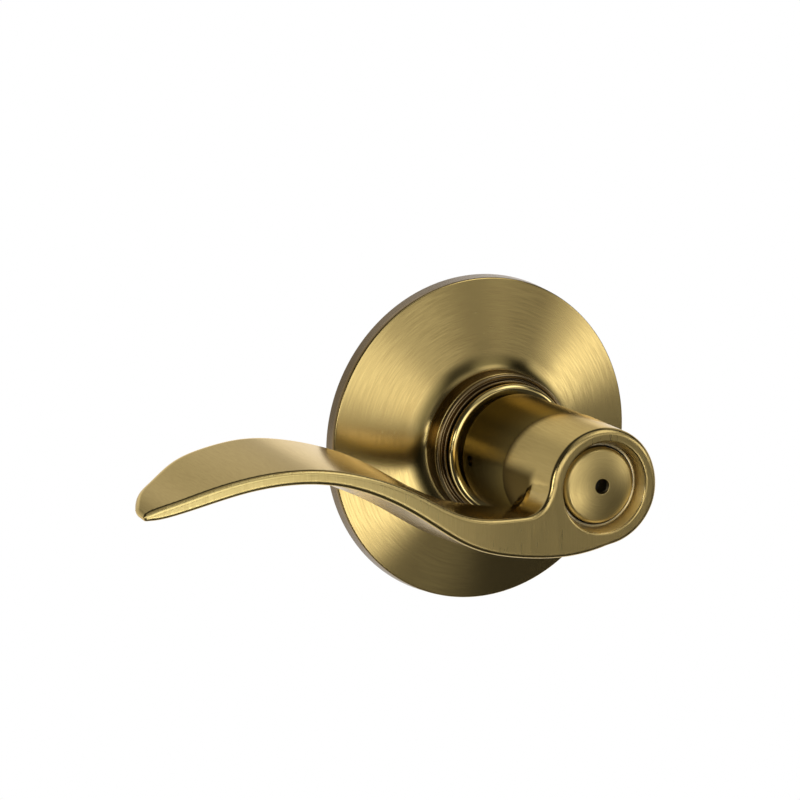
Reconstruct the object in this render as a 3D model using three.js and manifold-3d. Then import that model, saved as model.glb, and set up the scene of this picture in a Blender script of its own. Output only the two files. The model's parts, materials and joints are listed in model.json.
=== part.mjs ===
// Outside half of a privacy door lever: a spun rose, a wave-shaped lever on a sprung spindle tube, the catch
// that holds the lever on, and the push pin that lets someone outside release the lock.
// Millimetres. The door's face is the plane y = 0, +Z is up, and the lever stands out towards -Y.
// A "height" is a distance out from the door's face; negative heights lie inside the door.

import * as THREE from "three";
import { mergeVertices } from "three/addons/utils/BufferGeometryUtils.js";
import Module from "manifold-3d";

const wasm = await Module();
wasm.setup();

// ---------------------------------------------------------------- sizes

const SEAT_GAP = 0.3; // between pieces that touch or are pressed together
const RUNNING_GAP = 0.3; // between pieces that turn or slide on each other
const LAP = 1; // how far a cutter runs past what it cuts, and a joined part into its neighbour

// Rose, the round cover on the door's face
const ROSE_RADIUS = 32.5;
const ROSE_DRAFT = 0.2;
const ROSE_RIM_HEIGHT = 3.1;
const ROSE_WALL = 0.9;
const FLARE_FOOT_RADIUS = 19.5;
const FLARE_FOOT_RISE = 3.4;
const FLARE_RADIUS = 14.8;
const FLARE_HEIGHT = 12.4;

// Trim rings in front of the rose
const COLLAR_LIP_HEIGHT = 0.9;
const COLLAR_GROOVE_DEPTH = 0.6;
const COLLAR_STEP_HEIGHT = 1.5;
const COLLAR_LIP_WIDTH = 0.8;
const BEAD_RADIUS = 13.3;
const BEAD_HEIGHT = 2.0;

// Spindle tube, the turning part that carries the lever
const TUBE_RADIUS = 8.9;
const TUBE_WALL = 1.5;
const TUBE_FRONT = 41;
const TUBE_TAIL = 2;

// Bearing sleeve, plate and spring cage on the door
const SLEEVE_WALL = 3.1;
const SLEEVE_FLANGE_RADIUS = 16;
const SLEEVE_FLANGE = 1.6;
const LINER_WIDTH = 2; // ring between the plate's edge and the rose's rim
const PLATE_THICKNESS = 2;
const CAGE_RADIUS = 18;
const CAGE_WALL = 1;
const CAGE_DEPTH = 11;
const CAGE_EAR_THICKNESS = 1.5;
const CAGE_EAR_RADIUS = 5;
const STOP_WIDTH_DEG = 12;

// Through-bolt posts
const POST_SPACING = 44;
const POST_RADIUS = 3.5;
const POST_SHANK_RADIUS = 2.5;
const POST_LENGTH = 11;
const POST_HEAD_RADIUS = 3.9;
const POST_HEAD_HEIGHT = 1.2;
const POST_THREAD_RADIUS = 2.1;
const POST_THREAD_DEPTH = 9;

// Return spring and the driver that winds it
const SPRING_WIRE = 1.6;
const SPRING_RADIUS = 12.8;
const SPRING_TURNS = 3;
const DRIVER_PLATE = 1.1;
const DRIVER_FINGER = 1.1;

// Washers and ring behind the cage
const WASHER_RADIUS = 13;
const WASHER_THICKNESS = 0.8;
const WAVE_THICKNESS = 0.4;
const WAVE_RISE = 0.35;
const WAVE_COUNT = 3;
const RING_THICKNESS = 1.2;
const RING_RADIUS = 10.9;
const RING_GROOVE_DEPTH = 0.6;
const RING_GAP_DEG = 50;

// Drive spindle, the half-round bar that works the latch
const DRIVE_RADIUS = 4.6;
const DRIVE_FLAT = 2.9;
const DRIVE_LENGTH = 27;
const DRIVE_DISC = 4;

// Release pin down the middle
const PIN_RADIUS = 1.75;
const PIN_HEAD_RADIUS = 3.3;
const PIN_HEAD = 2;
const PIN_TRAVEL = 4;
const PIN_TAIL = 3;
const GUIDE_THICKNESS = 3;
const GUIDE_RECESS = 3;
const PIN_SPRING_WIRE = 0.5;
const PIN_SPRING_TURNS = 5;

// Lever
const FACE_HEIGHT = 55.3;
const HEAD_RADIUS = 11.6;
const NECK_RADIUS = 11.8;
const NECK_BASE = 18;
const NECK_CHAMFER = 0.5;
const CREASE_RADIUS = 12.1;
const CREASE_HEIGHT = 39.1;
const CREASE_TILT_DEG = 17;
const EDGE_ROUND = 1;
const FACE_SWEEP = 9; // how far the tip's face lies back towards the door
const FACE_SWEEP_START = -15;
const FACE_SWEEP_LENGTH = 80;
const TIP_ROUND = 1.6; // corner between the face and the blade's end

// Pocket in the lever's head, its cap and the ring behind it
const POCKET_RADIUS = 9.1;
const POCKET_FLOOR_RADIUS = 8.2;
const POCKET_DEPTH = 3.6;
const CAP_RADIUS = 7.55;
const CAP_EDGE_DEPTH = 2.2;
const CAP_DOME = 1.3;
const CAP_WALL = 1.1;
const CAP_SKIRT = 3;
const PINHOLE_RADIUS = 1.4;
const CAP_RING_WIRE = 1;

// Catch that holds the lever on the tube
const CATCH_HEIGHT = 21.4;
const CATCH_RADIUS = 0.8;
const CATCH_SINK = 1.4;
const CATCH_SHOE = 2.1;
const CATCH_SHOE_LENGTH = 7;
const CATCH_SHOE_WIDTH = 4;
const LEAF_THICKNESS = 0.4;
const LEAF_WIDTH = 3.6;
const LEAF_SPAN = 22;

// Ribs of the lever's blade, from the tip to the head: distance from the axis, then the height of the back
// edge, then the levels of the face's upper and lower edges and of the back's upper and lower edges.
const RIBS = [
  { x: -94.3, back: 42.4, faceTop: 2.2, faceBottom: 1, backTop: 2.8, backBottom: 1.4 },
  { x: -93.2, back: 40, faceTop: 2.7, faceBottom: 0.9, backTop: 3.8, backBottom: 1.8 },
  { x: -90, back: 35.8, faceTop: 3.8, faceBottom: 1.2, backTop: 5.3, backBottom: 2.8 },
  { x: -84, back: 31.5, faceTop: 5.6, faceBottom: 2.7, backTop: 7.7, backBottom: 4.1 },
  { x: -76, back: 28.6, faceTop: 7.7, faceBottom: 4.8, backTop: 10.2, backBottom: 5.5 },
  { x: -66, back: 27.2, faceTop: 8.9, faceBottom: 6.1, backTop: 11.4, backBottom: 5.6 },
  { x: -56, back: 27.3, faceTop: 8.1, faceBottom: 5.2, backTop: 10.4, backBottom: 3.5 },
  { x: -46, back: 28.4, faceTop: 5.2, faceBottom: 1.5, backTop: 7.5, backBottom: -0.4 },
  { x: -38, back: 29.6, faceTop: 1.3, faceBottom: -3.3, backTop: 3.4, backBottom: -4.4 },
  { x: -30, back: 30.7, faceTop: -2.8, faceBottom: -8.5, backTop: -1.4, backBottom: -9.3 },
  { x: -22, back: 31.7, faceTop: -4.1, faceBottom: -11.4, backTop: -4.7, backBottom: -12.6 },
  { x: -15, back: 33.0, faceTop: -3.4, faceBottom: -12.6, backTop: -5.6, backBottom: -13.4 },
  { x: -12, back: 34.3, faceTop: -0.8, faceBottom: -12.9, backTop: -3, backBottom: -13.3 },
  { x: -10, back: 35.4, faceTop: 3, faceBottom: -13, backTop: 1, backBottom: -13.2 },
  { x: -4, back: 37.3, faceTop: 3, faceBottom: -12.7, backTop: 1, backBottom: -12.7 },
  { x: 2, back: 39.5, faceTop: 0, faceBottom: -11.3, backTop: -2, backBottom: -11.3 },
];

// ---------------------------------------------------------------- sizes that follow from them

const TURN = 2 * Math.PI;
const TOP = TURN / 4;
const radians = THREE.MathUtils.degToRad;

const tubeInner = TUBE_RADIUS - TUBE_WALL;
const tubeBore = TUBE_RADIUS + RUNNING_GAP; // bore of whatever the tube turns in or is plugged into
const sleeveOuter = tubeBore + SLEEVE_WALL;
const sleeveHole = sleeveOuter + SEAT_GAP;

const collarBase = FLARE_HEIGHT + SEAT_GAP;
const collarLip = collarBase + COLLAR_LIP_HEIGHT;
const collarTop = collarBase + COLLAR_STEP_HEIGHT;
const beadBase = collarTop + SEAT_GAP;

const flangeBack = PLATE_THICKNESS + SEAT_GAP;
const linerOuter = ROSE_RADIUS - ROSE_WALL - SEAT_GAP;
const linerInner = linerOuter - LINER_WIDTH;
const cageInner = CAGE_RADIUS - CAGE_WALL;
const cageFloor = -(CAGE_DEPTH - CAGE_WALL);
const shankHole = POST_SHANK_RADIUS + SEAT_GAP;
const postShoulder = -(SEAT_GAP + CAGE_EAR_THICKNESS + SEAT_GAP);

const driverBack = -(SEAT_GAP + DRIVER_PLATE);
const fingerInner = SPRING_RADIUS + SPRING_WIRE / 2 + SEAT_GAP;
const fingerOuter = fingerInner + DRIVER_FINGER;
const springLegReach = cageInner - SEAT_GAP - SPRING_WIRE / 2;

const washerFront = -(CAGE_DEPTH + RUNNING_GAP);
const waveFront = washerFront - WASHER_THICKNESS - SEAT_GAP;
const ringFront = waveFront - WAVE_THICKNESS - 2 * WAVE_RISE - SEAT_GAP;
const ringBack = ringFront - RING_THICKNESS;
const tubeBack = ringBack - TUBE_TAIL;
const grooveRadius = TUBE_RADIUS - RING_GROOVE_DEPTH;

const driveFront = tubeBack + DRIVE_DISC + SEAT_GAP;
const driveBack = tubeBack - DRIVE_LENGTH;
const pinBore = PIN_RADIUS + RUNNING_GAP;
const pinBack = driveBack - PIN_TAIL;
const guideFront = TUBE_FRONT - GUIDE_RECESS;
const pinSpringSolid = PIN_SPRING_WIRE * (PIN_SPRING_TURNS + 1);
const pinHeadBack = guideFront + pinSpringSolid + PIN_TRAVEL + SEAT_GAP;
const pinHeadFront = pinHeadBack + PIN_HEAD;

const pocketFloor = FACE_HEIGHT - POCKET_DEPTH;
const capEdge = FACE_HEIGHT - CAP_EDGE_DEPTH;
const capBack = capEdge - CAP_SKIRT;
const chamberRadius = CAP_RADIUS + SEAT_GAP;
const capRingFront = capBack - SEAT_GAP;
const capRingBack = capRingFront - CAP_RING_WIRE;
const chamberFloor = Math.min(capRingBack - 2 * SEAT_GAP, pinHeadFront);
const socketEnd = TUBE_FRONT + SEAT_GAP;
const capGroove = CAP_RADIUS - CAP_WALL / 2 + CAP_RING_WIRE + SEAT_GAP;
const creaseTilt = radians(CREASE_TILT_DEG);

const catchTip = NECK_RADIUS - CATCH_SINK;
const shoeOuter = Math.sqrt((tubeInner - SEAT_GAP / 2) ** 2 - (CATCH_SHOE_WIDTH / 2) ** 2);
const shoeInner = shoeOuter - CATCH_SHOE;
const catchHole = CATCH_RADIUS + RUNNING_GAP;

// ---------------------------------------------------------------- helpers

const FINE = 64; // sides of the widest turned pieces
const PLAIN = 40; // sides of the others
const SLIM = 24; // sides of the slimmest
const ROUNDING = 0.3; // depth of a rounded edge's middle, as a share of its radius
const FULL_ROUND = 0.45; // most of a thickness that one rounded edge may take
const COIL_STEPS = 12; // straight lengths of wire in one turn of a small spring
const WIDE_COIL_STEPS = 20; // and in one turn of the return spring
const LEAF_STEPS = 16;
const WAVE_STEPS = 48;
const RIB_STEPS = 3; // sections of the blade from one rib to the next
const BACK_TURNS = [270, 235, 200, 160, 125, 90]; // degrees round the back of the blade, from below to above

const point = (x, y) => new THREE.Vector2(x, y);

// Solid of revolution about the spindle's axis from a closed outline of [radius, height] corners.
function turned(outline, sides = PLAIN) {
  const corners = outline.map((p) => (p.isVector2 ? p : point(...p)));
  if (THREE.ShapeUtils.area(corners) < 0) corners.reverse();
  corners.push(corners[0].clone());
  return new THREE.LatheGeometry(corners, sides).rotateX(Math.PI);
}

// Ring of rectangular section.
function ring(inner, outer, low, high, sides = PLAIN) {
  return turned([[inner, low], [outer, low], [outer, high], [inner, high]], sides);
}

// Disc or stub on the axis.
function stub(radius, low, high, sides = PLAIN) {
  return turned([[0, low], [radius, low], [radius, high], [0, high]], sides);
}

// Plate cut to a flat outline in x and z, between two heights.
function pressed(shape, low, high, curveSegments = 12) {
  const flat = new THREE.ExtrudeGeometry(shape, { depth: high - low, bevelEnabled: false, curveSegments });
  return flat.translate(0, 0, low).rotateX(TOP);
}

// Part of a ring between two radii, centred on an angle.
function sector(inner, outer, angle, width) {
  const shape = new THREE.Shape();
  shape.absarc(0, 0, outer, angle - width / 2, angle + width / 2, false);
  shape.absarc(0, 0, inner, angle + width / 2, angle - width / 2, true);
  return shape;
}

function circle(x, z, radius) {
  const path = new THREE.Path();
  path.absarc(x, z, radius, 0, TURN, false);
  return path;
}

// Wire of a round section along a path.
function wire(path, thickness, steps, sides = 8) {
  const section = new THREE.Shape();
  section.absarc(0, 0, thickness / 2, 0, TURN, false);
  return new THREE.ExtrudeGeometry(section, {
    extrudePath: path,
    steps,
    curveSegments: sides / 2,
    bevelEnabled: false,
  });
}

// Closed skin over a row of rings with equally many points. A hoop of rings joins its own start, and an open
// row is capped by its end rings, which are convex.
function skinned(rings, hoop = false) {
  const count = rings[0].length;
  const total = rings.length * count;
  const index = [];
  for (let i = 0; i < rings.length - (hoop ? 0 : 1); i++) {
    for (let j = 0; j < count; j++) {
      const a = i * count + j;
      const b = i * count + ((j + 1) % count);
      const ahead = [a, b].map((corner) => (corner + count) % total);
      index.push(a, b, ahead[1], a, ahead[1], ahead[0]);
    }
  }
  const last = total - count;
  for (let j = 1; j + 1 < count && !hoop; j++) index.push(0, j + 1, j, last, last + j, last + j + 1);
  const corners = rings.flat().flatMap((corner) => corner.toArray());
  const geometry = new THREE.BufferGeometry();
  geometry.setAttribute("position", new THREE.Float32BufferAttribute(corners, 3));
  return geometry.setIndex(index);
}

function solidOf(geometry) {
  const bare = geometry.clone();
  bare.deleteAttribute("normal");
  bare.deleteAttribute("uv");
  const merged = mergeVertices(bare, 1e-4);
  return new wasm.Manifold(
    new wasm.Mesh({
      numProp: 3,
      vertProperties: Float32Array.from(merged.attributes.position.array),
      triVerts: Uint32Array.from(merged.index.array),
    }),
  );
}

function geometryOf(solid) {
  const { vertProperties, triVerts } = solid.getMesh();
  const geometry = new THREE.BufferGeometry();
  geometry.setAttribute("position", new THREE.BufferAttribute(vertProperties, 3));
  geometry.setIndex(new THREE.BufferAttribute(triVerts, 1));
  geometry.computeVertexNormals();
  return geometry;
}

// Joins the first list of geometries and cuts the second from them.
function made(joined, cut = []) {
  const whole = joined.map(solidOf).reduce((a, b) => a.add(b));
  return geometryOf(cut.map(solidOf).reduce((a, b) => a.subtract(b), whole));
}

// Cylinder across the assembly along -X, from one distance to another.
function crossPin(radius, height, near, far, sides = 16) {
  const pin = new THREE.CylinderGeometry(radius, radius, far - near, sides);
  return pin.rotateZ(TOP).translate(-(near + far) / 2, -height, 0);
}

// ---------------------------------------------------------------- pieces fixed to the door

// One side of the rose's wall: rim, shallow cone, hollow flare and neck. The inset gives the inner side.
function roseSide(inset) {
  const foot = point(FLARE_FOOT_RADIUS, ROSE_RIM_HEIGHT + FLARE_FOOT_RISE - inset);
  const neck = point(FLARE_RADIUS - inset, (foot.y + FLARE_HEIGHT) / 2);
  const flare = new THREE.QuadraticBezierCurve(foot, point(neck.x, foot.y + 1), neck);
  return [
    point(ROSE_RADIUS + ROSE_DRAFT - inset, 0),
    point(ROSE_RADIUS - inset, ROSE_RIM_HEIGHT - inset),
    ...flare.getPoints(5),
    point(neck.x, FLARE_HEIGHT - inset),
  ];
}

function rose() {
  const outside = roseSide(0);
  const inside = roseSide(ROSE_WALL).reverse();
  const lip = [point(sleeveHole, FLARE_HEIGHT), point(sleeveHole, FLARE_HEIGHT - ROSE_WALL)];
  return turned([...outside, ...lip, ...inside], FINE);
}

// Stepped trim ring: an outer lip, a groove and an inner step.
function roseCollar() {
  const lipInner = FLARE_RADIUS - COLLAR_LIP_WIDTH;
  const grooveFloor = collarLip - COLLAR_GROOVE_DEPTH;
  const stepOuter = (lipInner + BEAD_RADIUS) / 2;
  return turned(
    [
      [sleeveHole, collarBase],
      [FLARE_RADIUS, collarBase],
      [FLARE_RADIUS, collarLip],
      [lipInner, collarLip],
      [lipInner, grooveFloor],
      [stepOuter, grooveFloor],
      [stepOuter, collarTop],
      [sleeveHole, collarTop],
    ],
    FINE,
  );
}

// Round-edged bushing that closes the front of the sleeve.
function neckBushing() {
  const edge = new THREE.EllipseCurve(
    BEAD_RADIUS - BEAD_HEIGHT / 2, beadBase + BEAD_HEIGHT / 2, BEAD_HEIGHT / 2, BEAD_HEIGHT / 2, -TOP, TOP,
  );
  return turned([[tubeBore, beadBase], ...edge.getPoints(6), [tubeBore, beadBase + BEAD_HEIGHT]], FINE);
}

function bearingSleeve() {
  return turned([
    [tubeBore, 0],
    [sleeveOuter, 0],
    [sleeveOuter, flangeBack],
    [SLEEVE_FLANGE_RADIUS, flangeBack],
    [SLEEVE_FLANGE_RADIUS, flangeBack + SLEEVE_FLANGE],
    [sleeveOuter, flangeBack + SLEEVE_FLANGE],
    [sleeveOuter, collarTop],
    [tubeBore, collarTop],
  ]);
}

function mountingPlate() {
  const shape = new THREE.Shape();
  shape.absarc(0, 0, linerInner - SEAT_GAP, 0, TURN, false);
  shape.holes.push(circle(0, 0, sleeveHole));
  for (const side of [-1, 1]) shape.holes.push(circle((side * POST_SPACING) / 2, 0, shankHole));
  return pressed(shape, 0, PLATE_THICKNESS, SLIM);
}

// Ring that centres the rose's rim on the plate.
function roseLiner() {
  return ring(linerInner, linerOuter, 0, PLATE_THICKNESS - SEAT_GAP, FINE);
}

// Cup for the return spring, open towards the plate, with an ear at each post and a stop inside.
function springCage() {
  const cup = turned([
    [tubeBore, cageFloor],
    [cageInner, cageFloor],
    [cageInner, -SEAT_GAP],
    [CAGE_RADIUS, -SEAT_GAP],
    [CAGE_RADIUS, -CAGE_DEPTH],
    [tubeBore, -CAGE_DEPTH],
  ]);
  const ears = new THREE.Shape();
  ears.absarc(POST_SPACING / 2, 0, CAGE_EAR_RADIUS, -TOP, TOP, false);
  ears.absarc(-POST_SPACING / 2, 0, CAGE_EAR_RADIUS, TOP, -TOP, false);
  for (const side of [-1, 1]) ears.holes.push(circle((side * POST_SPACING) / 2, 0, shankHole));
  const earPlate = pressed(ears, -SEAT_GAP - CAGE_EAR_THICKNESS, -SEAT_GAP);
  const stop = pressed(
    sector(fingerOuter + RUNNING_GAP, cageInner + CAGE_WALL / 2, TOP, radians(STOP_WIDTH_DEG)),
    cageFloor - CAGE_WALL / 2, driverBack,
  );
  return made([made([earPlate], [stub(cageInner, -CAGE_DEPTH, 0)]), cup, stop]);
}

// Riveted post that takes a through-bolt from the other side of the door.
function post(side) {
  const tip = postShoulder - POST_LENGTH;
  const headBack = PLATE_THICKNESS + SEAT_GAP;
  const outline = [
    [0, tip + POST_THREAD_DEPTH],
    [POST_THREAD_RADIUS, tip + POST_THREAD_DEPTH],
    [POST_THREAD_RADIUS, tip],
    [POST_RADIUS, tip],
    [POST_RADIUS, postShoulder],
    [POST_SHANK_RADIUS, postShoulder],
    [POST_SHANK_RADIUS, headBack],
    [POST_HEAD_RADIUS, headBack],
    [POST_SHANK_RADIUS, headBack + POST_HEAD_HEIGHT],
    [0, headBack + POST_HEAD_HEIGHT],
  ];
  return turned(outline, SLIM).translate((side * POST_SPACING) / 2, 0, 0);
}

// ---------------------------------------------------------------- springs

// Torsion spring of the lever: its straight legs lie against the two sides of the cage's stop.
function returnSpring() {
  const legLength = Math.sqrt(springLegReach ** 2 - SPRING_RADIUS ** 2);
  const legSweep = Math.atan2(legLength, SPRING_RADIUS);
  const legSide = radians(STOP_WIDTH_DEG) / 2 + (SPRING_WIRE / 2 + SEAT_GAP) / springLegReach;
  const start = TOP + legSide + legSweep;
  const end = TOP - legSide - legSweep + SPRING_TURNS * TURN;
  const front = driverBack - SEAT_GAP - SPRING_WIRE / 2;
  const back = cageFloor + SEAT_GAP + SPRING_WIRE / 2;
  const at = (angle, along, height) =>
    new THREE.Vector3(
      SPRING_RADIUS * Math.cos(angle) - along * Math.sin(angle),
      -height,
      SPRING_RADIUS * Math.sin(angle) + along * Math.cos(angle),
    );
  const steps = Math.round(((end - start) / TURN) * WIDE_COIL_STEPS);
  const points = [at(start, -legLength, front), at(start, -legLength / 2, front)];
  for (let i = 0; i <= steps; i++) {
    const share = i / steps;
    points.push(at(start + share * (end - start), 0, front + share * (back - front)));
  }
  points.push(at(end, legLength / 2, back), at(end, legLength, back));
  return wire(new THREE.CatmullRomCurve3(points), SPRING_WIRE, Math.round(points.length * 1.5));
}

// Small coil spring about the axis.
function coil(radius, thickness, turns, low, high) {
  const points = [];
  const steps = turns * COIL_STEPS;
  const rise = high - low - thickness;
  for (let i = 0; i <= steps; i++) {
    const angle = (i / COIL_STEPS) * TURN;
    const height = low + thickness / 2 + (rise * i) / steps;
    points.push(new THREE.Vector3(radius * Math.cos(angle), -height, radius * Math.sin(angle)));
  }
  return wire(new THREE.CatmullRomCurve3(points), thickness, steps, 6);
}

function pinSpring() {
  const radius = pinBore + PIN_SPRING_WIRE;
  const clear = SEAT_GAP / 2;
  return coil(radius, PIN_SPRING_WIRE, PIN_SPRING_TURNS, guideFront + clear, pinHeadBack - clear);
}

// Bowed leaf inside the tube that presses the catch outwards.
function catchSpring() {
  const halfWidth = LEAF_WIDTH / 2;
  const endX = -(Math.sqrt((tubeInner - SEAT_GAP) ** 2 - halfWidth ** 2) - LEAF_THICKNESS / 2);
  const middleX = -(shoeInner - SEAT_GAP - LEAF_THICKNESS);
  const bow = new THREE.QuadraticBezierCurve3(
    new THREE.Vector3(endX, -(CATCH_HEIGHT + LEAF_SPAN / 2), 0),
    new THREE.Vector3(2 * middleX - endX, -CATCH_HEIGHT, 0),
    new THREE.Vector3(endX, -(CATCH_HEIGHT - LEAF_SPAN / 2), 0),
  );
  const rings = [];
  for (let i = 0; i <= LEAF_STEPS; i++) {
    const middle = bow.getPoint(i / LEAF_STEPS);
    const tangent = bow.getTangent(i / LEAF_STEPS);
    const out = new THREE.Vector3(tangent.y, -tangent.x, 0).multiplyScalar(LEAF_THICKNESS / 2);
    const across = new THREE.Vector3(0, 0, halfWidth);
    rings.push([
      middle.clone().add(out).add(across),
      middle.clone().add(out).sub(across),
      middle.clone().sub(out).sub(across),
      middle.clone().sub(out).add(across),
    ]);
  }
  return skinned(rings);
}

// ---------------------------------------------------------------- pieces that turn with the lever

function spindleTube() {
  const clear = SEAT_GAP / 2;
  const tube = turned([
    [tubeInner, tubeBack],
    [TUBE_RADIUS, tubeBack],
    [TUBE_RADIUS, ringBack - clear],
    [grooveRadius, ringBack - clear],
    [grooveRadius, ringFront + clear],
    [TUBE_RADIUS, ringFront + clear],
    [TUBE_RADIUS, TUBE_FRONT],
    [tubeInner, TUBE_FRONT],
  ]);
  return made([tube], [crossPin(catchHole, CATCH_HEIGHT, tubeInner - LAP, TUBE_RADIUS + LAP)]);
}

// Disc that plugs the tube's tail, and the half-round bar that goes on to the latch.
function driveSpindle() {
  const disc = stub(tubeInner - SEAT_GAP, driveFront - DRIVE_DISC, driveFront);
  const bar = stub(DRIVE_RADIUS, driveBack, driveFront - DRIVE_DISC / 2);
  const above = new THREE.BoxGeometry(2 * DRIVE_RADIUS, driveFront - DRIVE_DISC - driveBack, DRIVE_RADIUS);
  above.translate(0, -(driveFront - DRIVE_DISC + driveBack) / 2, DRIVE_FLAT + DRIVE_RADIUS / 2);
  return made([made([bar], [above]), disc], [stub(pinBore, driveBack - LAP, driveFront + LAP, SLIM)]);
}

// Washer staked on the tube, with an arm and a finger that push the spring's legs.
function springDriver() {
  const washer = ring(TUBE_RADIUS + SEAT_GAP, fingerInner - SEAT_GAP, driverBack, -SEAT_GAP);
  const width = radians(STOP_WIDTH_DEG);
  const arm = pressed(sector(TUBE_RADIUS + LAP, fingerOuter, TOP, width), driverBack, -SEAT_GAP);
  const finger = pressed(sector(fingerInner, fingerOuter, TOP, width), cageFloor + RUNNING_GAP, -SEAT_GAP);
  return made([washer, arm, finger]);
}

function thrustWasher() {
  return ring(tubeBore, WASHER_RADIUS, washerFront - WASHER_THICKNESS, washerFront);
}

// Thin ring that rises and falls as it goes round.
function waveWasher() {
  const middle = waveFront - WAVE_THICKNESS / 2 - WAVE_RISE;
  const rings = [];
  for (let i = 0; i < WAVE_STEPS; i++) {
    const angle = (i / WAVE_STEPS) * TURN;
    const height = middle + WAVE_RISE * Math.sin(WAVE_COUNT * angle);
    const corner = (radius, lift) =>
      new THREE.Vector3(radius * Math.cos(angle), -(height + lift), radius * Math.sin(angle));
    const half = WAVE_THICKNESS / 2;
    rings.push([
      corner(tubeBore, -half),
      corner(tubeBore, half),
      corner(RING_RADIUS, half),
      corner(RING_RADIUS, -half),
    ]);
  }
  return skinned(rings, true);
}

// Open ring sprung into the tube's groove.
function retainingRing() {
  const open = radians(RING_GAP_DEG);
  const shape = sector(grooveRadius + SEAT_GAP, RING_RADIUS, TOP, TURN - open);
  return pressed(shape, ringBack, ringFront, SLIM);
}

function pinGuide() {
  return ring(pinBore, tubeInner - SEAT_GAP, guideFront - GUIDE_THICKNESS, guideFront);
}

function faceCap() {
  const dome = (radius, drop) => {
    const share = radius / CAP_RADIUS;
    return point(radius, capEdge + CAP_DOME * (1 - share * share) - drop);
  };
  const stations = [0.35, 0.6, 0.8];
  const skirt = CAP_RADIUS - CAP_WALL;
  return turned([
    dome(PINHOLE_RADIUS, 0),
    ...stations.map((s) => dome(s * CAP_RADIUS, 0)),
    point(CAP_RADIUS, capEdge),
    point(CAP_RADIUS, capBack),
    point(skirt, capBack),
    dome(skirt, CAP_WALL),
    ...stations.slice(0, 2).reverse().map((s) => dome(s * CAP_RADIUS, CAP_WALL)),
    dome(PINHOLE_RADIUS, CAP_WALL),
  ]);
}

// Split ring in the head's groove, behind the cap's skirt.
function capRing() {
  const inner = CAP_RADIUS - CAP_WALL / 2;
  const shape = sector(inner, inner + CAP_RING_WIRE, -TOP, TURN - radians(RING_GAP_DEG));
  return pressed(shape, capRingBack, capRingFront, SLIM);
}

// Section of the blade across x: a flat face with rounded edges and a full round at the back.
function bladeSection(rib) {
  const { x } = rib;
  const sweep = Math.max(0, FACE_SWEEP_START - x) / FACE_SWEEP_LENGTH;
  const inCorner = Math.max(0, TIP_ROUND - (x - RIBS[0].x));
  const corner = TIP_ROUND - Math.sqrt(TIP_ROUND ** 2 - inCorner ** 2);
  const face = FACE_HEIGHT - FACE_SWEEP * sweep * sweep - corner;
  const edge = Math.min(EDGE_ROUND, FULL_ROUND * (rib.faceTop - rib.faceBottom));
  const half = (rib.backTop - rib.backBottom) / 2;
  const middle = (rib.backTop + rib.backBottom) / 2;
  const bend = Math.min(half, FULL_ROUND * (face - rib.back));
  const inset = ROUNDING * edge;
  const at = (height, z) => new THREE.Vector3(x, -height, z);
  const section = [
    at(face - inset, rib.faceTop - inset),
    at(face, rib.faceTop - edge),
    at(face, rib.faceBottom + edge),
    at(face - inset, rib.faceBottom + inset),
    at(face - edge, rib.faceBottom),
  ];
  for (const angle of BACK_TURNS) {
    const turn = radians(angle);
    section.push(at(rib.back + bend + bend * Math.cos(turn), middle + half * Math.sin(turn)));
  }
  section.push(at(face - edge, rib.faceTop));
  return section;
}

// Blade of the lever, a smooth skin through its ribs.
function leverBlade() {
  const columns = Object.keys(RIBS[0]).map((key) => {
    const curve = new THREE.SplineCurve(RIBS.map((rib) => point(rib.x, rib[key])));
    return [key, curve];
  });
  const rings = [];
  const steps = (RIBS.length - 1) * RIB_STEPS;
  for (let i = 0; i <= steps; i++) {
    const rib = Object.fromEntries(columns.map(([key, curve]) => [key, curve.getPoint(i / steps).y]));
    rings.push(bladeSection(rib));
  }
  return skinned(rings);
}

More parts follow.
